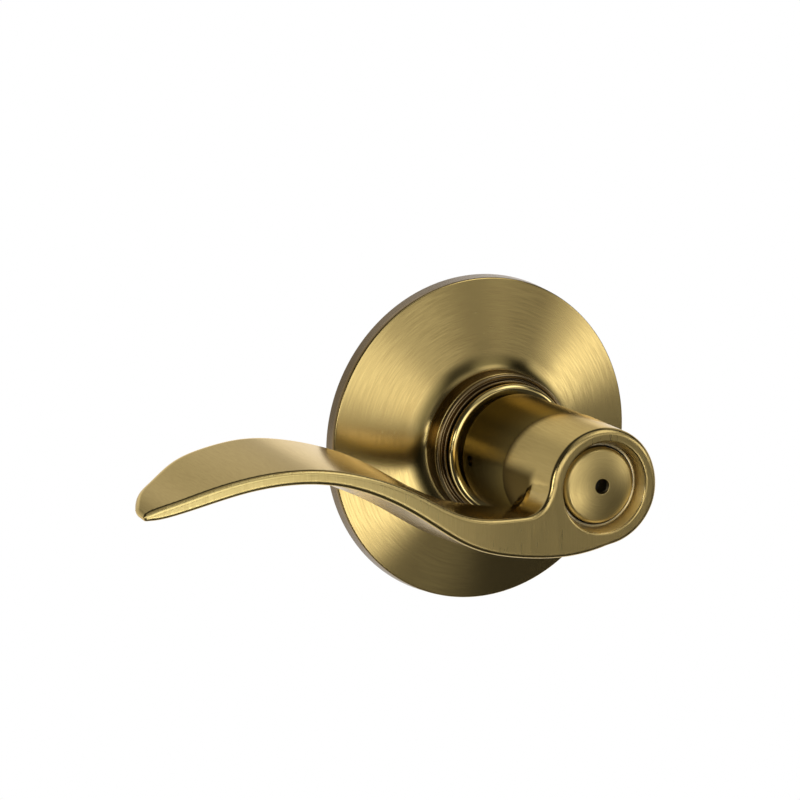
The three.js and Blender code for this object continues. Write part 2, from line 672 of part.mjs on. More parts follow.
// Head, neck and blade in one casting, bored for the tube and pocketed for the cap.
function lever() {
  const head = turned([
    [0, CREASE_HEIGHT - HEAD_RADIUS],
    [CREASE_RADIUS, CREASE_HEIGHT - HEAD_RADIUS],
    [CREASE_RADIUS, CREASE_HEIGHT],
    [HEAD_RADIUS, FACE_HEIGHT - EDGE_ROUND],
    [HEAD_RADIUS - ROUNDING * EDGE_ROUND, FACE_HEIGHT - ROUNDING * EDGE_ROUND],
    [HEAD_RADIUS - EDGE_ROUND, FACE_HEIGHT],
    [0, FACE_HEIGHT],
  ], FINE);
  const behindCrease = new THREE.BoxGeometry(4 * HEAD_RADIUS, 2 * HEAD_RADIUS, 4 * HEAD_RADIUS);
  behindCrease.translate(0, HEAD_RADIUS, 0).rotateZ(-creaseTilt).translate(0, -CREASE_HEIGHT, 0);
  const neck = turned([
    [0, NECK_BASE],
    [NECK_RADIUS - NECK_CHAMFER, NECK_BASE],
    [NECK_RADIUS, NECK_BASE + NECK_CHAMFER],
    [NECK_RADIUS, CREASE_HEIGHT + HEAD_RADIUS / 2],
    [0, CREASE_HEIGHT + HEAD_RADIUS / 2],
  ], FINE);
  const inside = turned([
    [0, NECK_BASE - LAP],
    [tubeBore, NECK_BASE - LAP],
    [tubeBore, socketEnd],
    [PIN_HEAD_RADIUS + RUNNING_GAP, socketEnd],
    [PIN_HEAD_RADIUS + RUNNING_GAP, chamberFloor],
    [chamberRadius, chamberFloor],
    [chamberRadius, capRingBack - SEAT_GAP],
    [capGroove, capRingBack - SEAT_GAP],
    [capGroove, capRingFront + SEAT_GAP],
    [chamberRadius, capRingFront + SEAT_GAP],
    [chamberRadius, pocketFloor],
    [POCKET_FLOOR_RADIUS, pocketFloor],
    [POCKET_RADIUS, FACE_HEIGHT],
    [POCKET_RADIUS, FACE_HEIGHT + LAP],
    [0, FACE_HEIGHT + LAP],
  ], FINE);
  const body = made([made([head], [behindCrease]), leverBlade(), neck]);
  return made([body], [inside, crossPin(catchHole, CATCH_HEIGHT, TUBE_RADIUS, NECK_RADIUS + LAP)]);
}

function leverCatch() {
  const shoe = new THREE.BoxGeometry(CATCH_SHOE, CATCH_SHOE_LENGTH, CATCH_SHOE_WIDTH);
  shoe.translate(-(shoeInner + shoeOuter) / 2, -CATCH_HEIGHT, 0);
  return made([crossPin(CATCH_RADIUS, CATCH_HEIGHT, shoeInner + CATCH_SHOE / 2, catchTip), shoe]);
}

function releasePin() {
  return turned([
    [0, pinBack],
    [PIN_RADIUS, pinBack],
    [PIN_RADIUS, pinHeadBack],
    [PIN_HEAD_RADIUS, pinHeadBack],
    [PIN_HEAD_RADIUS, pinHeadFront],
    [0, pinHeadFront],
  ], SLIM);
}

// ---------------------------------------------------------------- assembly

const ANTIQUE_BRASS = { color: 0xa88a52, roughness: 0.32, metalness: 1 };
const DARK_BRASS = { color: 0x7c6a4c, roughness: 0.38, metalness: 1 };
const POLISHED_BRASS = { color: 0xc9ab62, roughness: 0.2, metalness: 1 };
const ZINC_STEEL = { color: 0xb4b8bc, roughness: 0.42, metalness: 1 };
const SPRING_STEEL = { color: 0x6f7276, roughness: 0.3, metalness: 1 };
const SINTERED_STEEL = { color: 0x5d5a57, roughness: 0.6, metalness: 1 };
const NYLON = { color: 0xe6e2d6, roughness: 0.55, metalness: 0 };

function piece(name, geometry, finish) {
  const mesh = new THREE.Mesh(geometry, new THREE.MeshStandardMaterial(finish));
  mesh.name = name;
  return mesh;
}

const onDoor = new THREE.Group().add(
  piece("rose", rose(), ANTIQUE_BRASS),
  piece("rose_collar", roseCollar(), DARK_BRASS),
  piece("neck_bushing", neckBushing(), POLISHED_BRASS),
  piece("rose_liner", roseLiner(), NYLON),
  piece("bearing_sleeve", bearingSleeve(), SINTERED_STEEL),
  piece("mounting_plate", mountingPlate(), ZINC_STEEL),
  piece("spring_cage", springCage(), ZINC_STEEL),
  piece("post_left", post(-1), ZINC_STEEL),
  piece("post_right", post(1), ZINC_STEEL),
  piece("return_spring", returnSpring(), SPRING_STEEL),
);

const catchParts = new THREE.Group().add(piece("lever_catch", leverCatch(), POLISHED_BRASS));

const releaseParts = new THREE.Group().add(piece("release_pin", releasePin(), ZINC_STEEL));

const onSpindle = new THREE.Group().add(
  piece("lever", lever(), ANTIQUE_BRASS),
  piece("face_cap", faceCap(), ANTIQUE_BRASS),
  piece("cap_ring", capRing(), SPRING_STEEL),
  piece("spindle_tube", spindleTube(), ZINC_STEEL),
  piece("drive_spindle", driveSpindle(), ZINC_STEEL),
  piece("spring_driver", springDriver(), ZINC_STEEL),
  piece("thrust_washer", thrustWasher(), NYLON),
  piece("wave_washer", waveWasher(), SPRING_STEEL),
  piece("retaining_ring", retainingRing(), SPRING_STEEL),
  piece("pin_guide", pinGuide(), NYLON),
  piece("pin_spring", pinSpring(), SPRING_STEEL),
  piece("catch_spring", catchSpring(), SPRING_STEEL),
  catchParts,
  releaseParts,
);

export default new THREE.Group().add(onDoor, onSpindle);
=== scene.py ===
"""Antique-brass door lever: finer meshes and materials for what shows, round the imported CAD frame."""

import json
import math

import bpy
import numpy as np
from mathutils import Matrix, Vector


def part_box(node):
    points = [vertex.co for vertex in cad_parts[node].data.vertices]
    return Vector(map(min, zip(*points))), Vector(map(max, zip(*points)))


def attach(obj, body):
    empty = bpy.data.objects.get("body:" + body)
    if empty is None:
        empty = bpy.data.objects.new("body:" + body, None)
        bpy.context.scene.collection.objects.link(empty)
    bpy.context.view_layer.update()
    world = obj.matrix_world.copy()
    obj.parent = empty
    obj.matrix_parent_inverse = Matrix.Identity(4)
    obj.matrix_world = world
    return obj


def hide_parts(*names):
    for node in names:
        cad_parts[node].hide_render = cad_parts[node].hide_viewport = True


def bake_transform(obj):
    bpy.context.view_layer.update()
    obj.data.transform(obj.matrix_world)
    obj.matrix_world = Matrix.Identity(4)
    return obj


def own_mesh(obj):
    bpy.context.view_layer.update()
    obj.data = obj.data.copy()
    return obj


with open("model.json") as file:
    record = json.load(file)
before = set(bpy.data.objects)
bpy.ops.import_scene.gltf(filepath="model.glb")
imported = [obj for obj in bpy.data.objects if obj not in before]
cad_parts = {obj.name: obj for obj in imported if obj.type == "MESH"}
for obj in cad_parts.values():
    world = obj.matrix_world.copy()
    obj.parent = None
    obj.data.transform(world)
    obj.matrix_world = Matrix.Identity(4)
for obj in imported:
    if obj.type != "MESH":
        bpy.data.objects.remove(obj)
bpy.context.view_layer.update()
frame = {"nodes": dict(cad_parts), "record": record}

MM = 0.001


# ---------------------------------------------------------------- sizes, in millimetres
# A height is a distance out from the door's face, towards -Y, and a level is a place along Z. Outer sizes
# come from the frame.


def reach(node):
    """Radius of a turned CAD node, and its lowest and highest height."""
    low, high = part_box(node)
    return high.x / MM, -high.y / MM, -low.y / MM


ROSE_RADIUS, _, ROSE_MOUTH = reach("rose")
ROSE_DRAFT = 0.2  # how much smaller the rim's front edge is
ROSE_RIM = 3.1  # height of that edge
RIM_ROUND = 0.35
ROSE_SHEET = 0.9  # thickness of the sheet that it is spun from
FLARE_FOOT = (19.5, 6.5)  # radius and height where the cone turns up into the flare
RING_BORE = 12.6  # bore of the rose's mouth and of the collar
BEAD_RADIUS, BEAD_BASE, BEAD_TOP = reach("neck_bushing")
COLLAR_RADIUS, COLLAR_BASE, COLLAR_TOP = reach("rose_collar")
CAP_RADIUS, CAP_BACK, CAP_CROWN = reach("face_cap")
lever_low, lever_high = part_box("lever")
FACE = -lever_low.y / MM
TIP = lever_low.x / MM
NECK_BASE = -lever_high.y / MM
NECK_RADIUS = 11.8
NECK_EDGE = 0.5
NECK_TAPER = (43, 46.5, 0.2)  # inside the head: the heights where the neck narrows and ends, and by how much
CREASE = (11.95, 39.1)  # radius and height of the line where the neck enters the head
CREASE_SLOPE = math.tan(math.radians(17))
CREASE_ROUND = 0.1
HEAD_RADIUS = 11.6
TIP_ROUND = 0.5
BACK_ROUND = (0.3, 4)  # least and greatest radius of the blade's back edges
EDGE_ROUND = (0.2, 0.9)  # least and greatest radius of the face's edges
RING_CROWN = 0.4  # further rounding of the ring above the blade
CROWN_LEVEL = (-4, 7)  # where that rounding starts above the blade, and over what distance it grows
CROWN_REACH = (-20, 6)  # the same along X, from the blade towards the head
BLADE_END = 4  # X at which the blade ends inside the head
# Radius of the hollow between blade and neck, by height: wide at the face, and closing towards the neck.
VALLEY = ((31, 36.6, 41.6, 44, 45.7, 47), (0.8, 1.4, 3.4, 4.6, 6.0, 6.0))
VALLEY_LEVEL = (-9, 3)  # where the hollow starts below the blade, and over what distance it opens
# Radius of the core that the hollow leans on, by height, and how far it stays under the head's surface.
CORE = ((44.5, 48), (NECK_RADIUS - 0.3, HEAD_RADIUS + 0.2))
CORE_COVER = 0.03
# The next two sizes bound the painted shade over the blade's root, partly the bath's brown left there.
ROOT_SHADE = (1.0, 45.7)  # over the blade's root the head stays brown below this level and this height
ROOT_SHADE_END = 4.0  # how far left of the axis that brown ends
FACE_SWEEP = (9.0, -15.0, 80.0)  # how far the tip lies back, where the sweep starts, and its length
POCKET = (9.1, 8.15, 3.0)  # radius at the face and at the floor, and depth
POCKET_ROUND = 0.3
CHAMBER = (7.85, 45.6)  # radius and floor of the hollow behind the cap
PIN_BORE = 3.6
TUBE_BORE = (9.2, 41.3)  # radius of the bore that the spindle tube fills, and its end
CATCH_HEIGHT = 21.4
CATCH_HOLE = 1.1

# Ribs of the blade from tip to head: x, height of the back edge, levels of the face's upper and lower edges
# and of the back's upper and lower edges.
RIBS = np.array([
    [TIP, 42.4, 2.2, 1.0, 2.8, 1.4],
    [-93.2, 40.0, 2.7, 0.9, 3.8, 1.8],
    [-90, 35.8, 3.8, 1.2, 5.3, 2.8],
    [-84, 31.5, 5.6, 2.7, 7.7, 4.1],
    [-76, 28.6, 7.7, 4.8, 10.2, 5.5],
    [-66, 27.2, 8.9, 6.1, 11.4, 5.6],
    [-56, 27.3, 8.1, 5.2, 10.4, 3.5],
    [-46, 28.4, 5.2, 1.5, 7.5, -0.4],
    [-38, 29.6, 1.3, -3.3, 3.4, -4.4],
    [-30, 30.7, -2.8, -8.5, -1.4, -9.3],
    [-22, 31.7, -4.1, -11.4, -4.7, -12.6],
    [-15, 33.0, -4.1, -12.6, -6.1, -13.4],
    [-8, 36.2, -4.1, -13.0, -6.5, -13.2],
    [2, 39.5, -4.1, -11.3, -6.5, -11.3],
])


# ---------------------------------------------------------------- mesh helpers


def shown(name, mesh, body):
    """Puts a mesh in the scene as a piece that moves with a body."""
    piece = bpy.data.objects.new(name, mesh)
    bpy.context.scene.collection.objects.link(piece)
    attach(piece, body)
    return piece


def mesh_of(name, corners, faces):
    """Smooth-shaded mesh from corners in metres."""
    mesh = bpy.data.meshes.new(name)
    mesh.from_pydata(corners, [], faces)
    mesh.validate()
    mesh.shade_smooth()
    return mesh


def eased(corners):
    """Outline with each (radius, height, rounding) corner rounded, and its flats held flat by a point near
    each end. A rounding of 0 leaves a corner sharp."""
    hold, nearly_straight, steps = 0.04, math.radians(8), 6
    places = [np.array(corner[:2], float) for corner in corners]
    points = []
    for i, here in enumerate(places):
        rounding = corners[i][2]
        into, out = here - places[i - 1], places[(i + 1) % len(places)] - here
        into, out = into / np.linalg.norm(into), out / np.linalg.norm(out)
        turn = math.acos(np.clip(into @ out, -1, 1))
        if rounding == 0 or turn < nearly_straight:
            points.append(here)
            continue
        cut = rounding * math.tan(turn / 2)
        start, end = here - into * cut, here + out * cut
        points.append(start - into * hold)
        side = np.sign(into[0] * out[1] - into[1] * out[0])
        centre = start + side * rounding * np.array([-into[1], into[0]])
        arm = start - centre
        for k in range(steps + 1):
            a = side * turn * k / steps
            points.append(centre + [arm[0] * math.cos(a) - arm[1] * math.sin(a),
                                    arm[0] * math.sin(a) + arm[1] * math.cos(a)])
        points.append(end + out * hold)
    return points


def turned(name, outline, sides=192):
    """Solid of revolution about the spindle's axis from a closed outline of (radius, height) points."""
    outline = [(max(0.0, p[0]), p[1]) for p in outline]
    area = sum(a[0] * b[1] - b[0] * a[1] for a, b in zip(outline, outline[1:] + outline[:1]))
    if area > 0:
        outline = outline[::-1]
    rows, corners = [], []
    for radius, height in outline:
        ring = []
        around = 1 if radius < 1e-9 else sides
        for k in range(around):
            angle = 2 * math.pi * k / sides
            ring.append(len(corners))
            corners.append((radius * math.cos(angle) * MM, -height * MM, radius * math.sin(angle) * MM))
        rows.append(ring * (sides if around == 1 else 1))
    faces = []
    for low, high in zip(rows, rows[1:] + rows[:1]):
        if low[0] == low[1] and high[0] == high[1]:
            continue
        for k in range(sides):
            j = (k + 1) % sides
            quad = [low[k], high[k], high[j], low[j]]
            faces.append([c for n, c in enumerate(quad) if c not in quad[:n]])
    return mesh_of(name, corners, faces)


def drilled(piece, drill):
    """Cuts a drill's mesh out of a piece, and leaves the result in the piece's mesh."""
    tool = bpy.data.objects.new("drill", drill)
    bpy.context.scene.collection.objects.link(tool)
    change = piece.modifiers.new("cut", "BOOLEAN")
    change.object = tool
    change.operation = "DIFFERENCE"
    change.solver = "EXACT"
    result = bpy.data.meshes.new_from_object(piece.evaluated_get(bpy.context.evaluated_depsgraph_get()))
    piece.modifiers.clear()
    result.shade_smooth()
    result.set_sharp_from_angle(angle=math.radians(35))
    piece.data = result
    bpy.data.objects.remove(tool)


# ---------------------------------------------------------------- the lever's shape
# The head and blade are one solid, given by a distance field: negative inside, zero on the surface, in
# millimetres.


def faired(column, stations):
    """Smooth curve through one column of the ribs, bent as little as a draughtsman's batten would be."""
    stiffness = 0.02
    spot = np.interp(RIBS[:, 0], stations, np.arange(len(stations)))
    left = np.minimum(spot.astype(int), len(stations) - 2)
    share = spot - left
    rows = np.zeros((len(RIBS), len(stations)))
    rows[np.arange(len(RIBS)), left] = 1 - share
    rows[np.arange(len(RIBS)), left + 1] = share
    step = stations[1] - stations[0]
    bend = np.diff(np.eye(len(stations)), 3, axis=0) / step**2.5
    return np.linalg.solve(rows.T @ rows + stiffness * bend.T @ bend, rows.T @ RIBS[:, column])


STATIONS = np.arange(TIP, 6, 0.1)
BACK, FACE_TOP, FACE_BOTTOM, BACK_TOP, BACK_BOTTOM = (faired(c, STATIONS) for c in range(1, 6))
FACE_LINE = FACE - FACE_SWEEP[0] * (np.clip(FACE_SWEEP[1] - STATIONS, 0, None) / FACE_SWEEP[2]) ** 2


def along(curve, x):
    """Value of a faired curve at x, and its slope."""
    return np.interp(x, STATIONS, curve), np.interp(x, STATIONS, np.gradient(curve, STATIONS))


def grown(place, start, width):
    """Share that grows from 0 at start to 1 over width."""
    return np.clip((place - start) / width, 0, 1)


def round_meet(a, b, radius):
    """Intersection of two fields with a rounded edge."""
    over = np.hypot(np.maximum(a + radius, 0), np.maximum(b + radius, 0))
    return np.minimum(np.maximum(a, b), -radius) + over


def round_join(a, b, radius):
    """Union of two fields with a hollow fillet."""
    under = np.hypot(np.maximum(radius - a, 0), np.maximum(radius - b, 0))
    return np.maximum(np.minimum(a, b), radius) - under


def blade_field(x, h, z):
    """The wave-shaped blade behind the plane of its face, up to where it ends inside the head."""
    face = along(FACE_LINE, x)[0]
    back, back_slope = along(BACK, x)
    depth = np.clip((face - h) / (face - back), -0.2, 1.2)  # 0 at the face and 1 at the back
    sides = []
    for sign, front_edge, back_edge in ((1, FACE_TOP, BACK_TOP), (-1, FACE_BOTTOM, BACK_BOTTOM)):
        front, front_slope = along(front_edge, x)
        rear, rear_slope = along(back_edge, x)
        level = front + (rear - front) * depth
        slope = front_slope + (rear_slope - front_slope) * depth
        tilt = (rear - front) / (face - back)
        sides.append(sign * (z - level) / np.sqrt(1 + slope**2 + tilt**2))
    half = (along(BACK_TOP, x)[0] - along(BACK_BOTTOM, x)[0]) / 2
    behind = (back - h) / np.sqrt(1 + back_slope**2)
    nearly_half = 0.98 * half  # leaves a narrow flat between the two back edges
    blade = round_meet(np.maximum(*sides), behind, np.clip(nearly_half, *BACK_ROUND))
    return np.maximum(round_meet(blade, TIP - x, TIP_ROUND), x - BLADE_END)


def bored_field(axis, h):
    """What is bored out of the head: the cap's chamber and pocket, whose wall leans outwards."""
    outer, inner, deep = POCKET
    wall = outer + (np.maximum(h, FACE - deep) - FACE) * (outer - inner) / deep
    lean = 0.97  # a point is a little nearer to a leaning wall than its radius tells
    return np.maximum((axis - wall) * lean, CHAMBER[1] - h)


def lever_field(x, h, z):
    """Head and blade, with the bores of the cap, the pin and the spindle tube."""
    blade = blade_field(x, h, z)
    axis = np.hypot(x, z)
    radius = CREASE[0] + (HEAD_RADIUS - CREASE[0]) * (h - CREASE[1]) / (FACE - CREASE[1])
    crease = (CREASE[1] + CREASE_SLOPE * x - h) / math.hypot(1, CREASE_SLOPE)
    head = round_meet(axis - radius, crease, CREASE_ROUND)

    core = axis - np.minimum(np.interp(h, *CORE), radius - CORE_COVER)
    valley = np.interp(h, *VALLEY) * np.maximum(grown(z, *VALLEY_LEVEL), 0.02)
    body = np.minimum(head, np.maximum(round_join(blade, core, valley), blade - valley))

    face, face_slope = along(FACE_LINE, x)
    front = (h - face) / np.sqrt(1 + face_slope**2)
    nearly_half = 0.45 * (along(FACE_TOP, x)[0] - along(FACE_BOTTOM, x)[0])
    crown = RING_CROWN * grown(z, *CROWN_LEVEL) * grown(x, *CROWN_REACH)
    body = round_meet(body, front, np.clip(nearly_half, *EDGE_ROUND) + crown)
    body = round_meet(body, -bored_field(axis, h), POCKET_ROUND)
    tube, tube_end = TUBE_BORE
    return np.maximum(body, -np.minimum(axis - PIN_BORE, np.maximum(axis - tube, h - tube_end)))


def crossed(value, inside, axis):
    """Grid edges along an axis that the surface crosses: where each starts, where it is crossed, and whether
    it starts inside."""
    first, second = [slice(None)] * 3, [slice(None)] * 3
    first[axis], second[axis] = slice(None, -1), slice(1, None)
    spots = np.argwhere(inside[tuple(first)] != inside[tuple(second)])
    ends = spots + np.eye(3, dtype=int)[axis]
    here, there = value[tuple(spots.T)], value[tuple(ends.T)]
    where = spots + np.eye(3)[axis] * (here / (here - there))[:, None]
    return spots, where, inside[tuple(spots.T)]


def beside(spots, axis):
    """The four cells round each grid edge along an axis, in order round it."""
    a, b = [k for k in range(3) if k != axis]
    for da, db in ((0, 0), (1, 0), (1, 1), (0, 1)):
        cell = spots.copy()
        cell[:, a] -= da
        cell[:, b] -= db
        yield cell


def netted(field, low, high, step):
    """Points and quads close to a field's zero surface, one point for each cell that the surface crosses."""
    axes = [np.arange(a, b + step, step) for a, b in zip(low, high)]
    value = field(*np.meshgrid(*axes, indexing="ij", sparse=True))
    inside = value < 0
    shape = np.array(value.shape) - 1
    total, hits = np.zeros((*shape, 3)), np.zeros(shape)
    crossings = [crossed(value, inside, axis) for axis in range(3)]
    for axis, (spots, where, _) in enumerate(crossings):
        for cell in beside(spots, axis):
            fine = np.all((cell >= 0) & (cell < shape), axis=1)
            np.add.at(total, tuple(cell[fine].T), where[fine])
            np.add.at(hits, tuple(cell[fine].T), 1)
    cells = np.argwhere(hits > 0)
    number = -np.ones(shape, int)
    number[tuple(cells.T)] = np.arange(len(cells))
    points = total[tuple(cells.T)] / hits[tuple(cells.T)][:, None] * step + np.array(low)
    quads = []
    for axis, (spots, _, solid) in enumerate(crossings):
        quad = np.stack([number[tuple(cell.T)] for cell in beside(spots, axis)], 1)
        flip = ~solid ^ (axis == 1)
        quad[flip] = quad[flip][:, ::-1]
        quads.append(quad)
    return points, np.concatenate(quads)


def slope_of(field, points):
    """Gradient of a field at points."""
    step = 0.05
    rise = [field(*(points + d).T) - field(*(points - d).T) for d in np.eye(3) * step]
    return np.stack(rise, 1) / (2 * step)


def lever_mesh(step):
    """Mesh of the head and blade on a grid of step mm, with its points and normals taken from the field."""
    low, high = (TIP - 1, 25.5, -15), (13.5, FACE + 1, 14)
    least_slope, longest_move = 0.05, 0.2
    points, quads = netted(lever_field, low, high, step)
    for _ in range(4):
        slope = slope_of(lever_field, points)
        steepness = np.maximum(np.sum(slope**2, axis=1, keepdims=True), least_slope)
        move = lever_field(*points.T)[:, None] * slope / steepness
        points -= np.clip(move, -longest_move, longest_move)
    normals = slope_of(lever_field, points)
    normals /= np.linalg.norm(normals, axis=1, keepdims=True)
    mesh = mesh_of("lever_body", (points * [1, -1, 1] * MM).tolist(), quads[:, ::-1].tolist())
    mesh.normals_split_custom_set_from_vertices((normals * [1, -1, 1]).tolist())
    return mesh


# ---------------------------------------------------------------- pieces for what shows


def rose():
    """Spun dish: a shallow cone from the rim to a flare that stands round the neck."""
    rim_radius = ROSE_RADIUS - ROSE_DRAFT
    foot_radius, foot_height = FLARE_FOOT
    bend = (COLLAR_RADIUS, foot_height + 1)
    top = (COLLAR_RADIUS, (foot_height + ROSE_MOUTH) / 2)
    flare = [tuple((1 - t) ** 2 * a + 2 * t * (1 - t) * b + t * t * c
                   for a, b, c in zip(FLARE_FOOT, bend, top)) for t in np.linspace(0, 1, 15)]
    rim = [(ROSE_RADIUS, 0, 0), (rim_radius, ROSE_RIM, RIM_ROUND)]
    rise = (foot_height - ROSE_RIM) / (rim_radius - foot_radius)
    cone = [(r, ROSE_RIM + rise * (rim_radius - r), 0) for r in (30, 27, 24, 21.5)]
    mouth = [(COLLAR_RADIUS, ROSE_MOUTH, 0.25), (RING_BORE, ROSE_MOUTH, 0),
             (RING_BORE, ROSE_MOUTH - ROSE_SHEET, 0)]
    inside = [(a - 0.4, b - ROSE_SHEET, 0) for a, b in flare[::-1]]
    back = [(ROSE_RADIUS - 1.1, ROSE_RIM - ROSE_SHEET, 0), (ROSE_RADIUS - ROSE_SHEET, 0, 0)]
    outline = eased(rim + cone + [(a, b, 0) for a, b in flare] + mouth + inside + back)
    piece = shown("rose_dish", turned("rose_dish", outline, 256), "door_side")
    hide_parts("rose")
    return piece


def collar():
    """Ring in the rose's mouth: a rounded lip, a groove, and a thin bright-edged step against the bead."""
    lip, groove = 13.6, 13.0
    lip_width, lip_round, step_round = 0.8, 0.38, 0.15
    lip_inner = COLLAR_RADIUS - lip_width
    step_outer = (lip_inner + BEAD_RADIUS) / 2
    outline = eased([(RING_BORE, COLLAR_BASE, 0), (COLLAR_RADIUS, COLLAR_BASE, 0.2),
                     (COLLAR_RADIUS, lip, lip_round), (lip_inner, lip, lip_round), (lip_inner, groove, 0),
                     (step_outer, groove, 0), (step_outer, COLLAR_TOP, step_round),
                     (RING_BORE, COLLAR_TOP, 0)])
    piece = shown("collar_ring", turned("collar_ring", outline, 256), "door_side")
    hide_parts("rose_collar")
    return piece


def bead():
    """Round-nosed ring between the collar and the neck."""
    bore, shoulder = TUBE_BORE[0], 10.5
    middle = (BEAD_BASE + BEAD_TOP) / 2
    half = (BEAD_TOP - BEAD_BASE) / 2
    arc = [(BEAD_RADIUS - half + half * math.cos(a), middle + half * math.sin(a))
           for a in np.linspace(-math.pi / 2, math.pi / 2, 15)]
    outline = [(bore, BEAD_BASE), (shoulder, BEAD_BASE)] + arc + [(shoulder, BEAD_TOP), (bore, BEAD_TOP)]
    piece = shown("neck_bead", turned("neck_bead", outline, 256), "door_side")
    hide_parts("neck_bushing")
    return piece


def lever():
    """The lever in three meshes: head and blade, neck with the catch's hole, and the ledge under the cap."""
    body = shown("lever_body", lever_mesh(0.3), "lever_side")

    bore = TUBE_BORE[0]
    narrow, end, taper = NECK_TAPER
    outline = eased([(bore, NECK_BASE, 0.1), (NECK_RADIUS - NECK_EDGE, NECK_BASE, 0.08),
                     (NECK_RADIUS, NECK_BASE + NECK_EDGE, 0.12), (NECK_RADIUS, narrow, 0),
                     (NECK_RADIUS - taper, end, 0), (bore, end, 0)])
    neck = shown("lever_neck", turned("lever_neck", outline, 256), "lever_side")
    near, far = 9, 12.5  # from inside the bore to outside the neck
    drill = turned("drill", [(CATCH_HOLE, near), (CATCH_HOLE, far), (0, far), (0, near)], 32)
    quarter_turn = Matrix.Rotation(math.radians(-90), 4, "Z")
    drill.transform(Matrix.Translation((0, -CATCH_HEIGHT * MM, 0)) @ quarter_turn)
    drilled(neck, drill)

    hidden = POCKET[1] + 0.1
    inner, base = CHAMBER
    top = FACE - POCKET[2]
    seat = eased([(inner, base, 0), (hidden, base, 0), (hidden, top, 0), (inner, top, 0.1)])
    ledge = shown("pocket_ledge", turned("pocket_ledge", seat, 192), "lever_side")
    for piece in (body, neck, ledge):
        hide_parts("lever")
    return body, neck, ledge


def cap():
    """Domed cap with a round shoulder, and a hole for the release pin's tool."""
    hole, wall, shoulder, rise = 1.5, 1.1, 6.7, 0.85

    def dome(radius, drop=0.0):
        return radius, CAP_CROWN - rise * (radius / shoulder) ** 2 - drop, 0

    edge = CAP_RADIUS - shoulder
    slope = math.atan(2 * rise / shoulder)
    size = edge / (1 - math.sin(slope))
    level = dome(shoulder)[1] - size * math.cos(slope)
    bend = [(CAP_RADIUS - size + size * math.sin(a), level + size * math.cos(a), 0)
            for a in np.linspace(slope, math.pi / 2, 10)]
    outside = [dome(r) for r in np.linspace(hole + 0.2, shoulder - 0.3, 12)]
    inside = [dome(r, wall) for r in np.linspace(shoulder, hole, 8)]
    outline = eased([(*dome(hole)[:2], 0.12)] + outside + bend
                    + [(CAP_RADIUS, CAP_BACK, 0), (CAP_RADIUS - wall, CAP_BACK, 0)] + inside)
    piece = shown("cap_dome", turned("cap_dome", outline, 192), "lever_side")
    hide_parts("face_cap")
    return piece


# ---------------------------------------------------------------- materials


def linear(code):
    """Linear colour of an sRGB hex code."""
    parts = [int(code[i:i + 2], 16) / 255 for i in (0, 2, 4)]
    return [p / 12.92 if p <= 0.04045 else ((p + 0.055) / 1.055) ** 2.4 for p in parts] + [1]


def scale_for(size):
    """Texture scale at which a pattern's features are about size mm across."""
    return 1 / (size * MM)


def add(tree, kind, links=(), **settings):
    """Adds a node. A setting names a property or an input, by name or as in3 for input 3; links pair an input
    with the output that feeds it."""
    node = tree.nodes.new(kind)

    def spot(name):
        return node.inputs[int(name[2:])] if name[:2] == "in" and name[2:].isdigit() else node.inputs[name]

    for name, value in settings.items():
        if hasattr(node, name):
            setattr(node, name, value)
        else:
            spot(name.replace("_", " ") if not name[:2] == "in" else name).default_value = value
    for name, output in dict(links).items():
        tree.links.new(output, spot(name))
    return node


def started(name):
    """Empty material of that name, and its node tree."""
    material = bpy.data.materials.new(name)
    material.use_nodes = True
    tree = material.node_tree
    tree.nodes.clear()
    return material, tree


def away_from_axis(tree, place):
    """The part of a place that points away from the spindle's axis, and its length."""
    x, _, z = add(tree, "ShaderNodeSeparateXYZ", {"in0": place}).outputs
    flat = add(tree, "ShaderNodeCombineXYZ", {"in0": x, "in2": z}).outputs[0]
    return flat, add(tree, "ShaderNodeVectorMath", {"in0": flat}, operation="LENGTH").outputs["Value"]


def lathe_field(tree, place, turns, width, off=(0, 0, 0)):
    """Coordinates for lines that run round the spindle's axis, or round a point a little off it.

    One unit is a line's width, in mm, across the lines, and a radian divided by turns along them.
    """
    centre = [c * MM for c in off]
    place = add(tree, "ShaderNodeVectorMath", {"in0": place}, operation="ADD", in1=centre).outputs[0]
    y = add(tree, "ShaderNodeSeparateXYZ", {"in0": place}).outputs[1]
    flat, radius = away_from_axis(tree, place)
    unit = add(tree, "ShaderNodeVectorMath", {"in0": flat}, operation="NORMALIZE").outputs[0]
    girth = add(tree, "ShaderNodeVectorMath", {"in0": unit}, operation="SCALE", Scale=turns).outputs[0]
    level = add(tree, "ShaderNodeMath", {"in0": radius, "in1": y}, operation="ADD").outputs[0]
    level = add(tree, "ShaderNodeMath", {"in0": level}, operation="MULTIPLY", in1=scale_for(width)).outputs[0]
    out = add(tree, "ShaderNodeCombineXYZ", {"in1": level}).outputs[0]
    return add(tree, "ShaderNodeVectorMath", {"in0": girth, "in1": out}, operation="ADD").outputs[0], unit


def round_marks(tree, place, turns, width):
    """Lines turned about the spindle's axis: their field, a field for strokes across them, and the way they
    run."""
    field, unit = lathe_field(tree, place, turns, width)
    crossing, _ = lathe_field(tree, place, turns * 1.5, width * 0.8, (3.5, 0, -2.5))
    line = add(tree, "ShaderNodeVectorMath", {"in0": unit}, operation="CROSS_PRODUCT",
               in1=(0, 1, 0)).outputs[0]
    return field, crossing, line


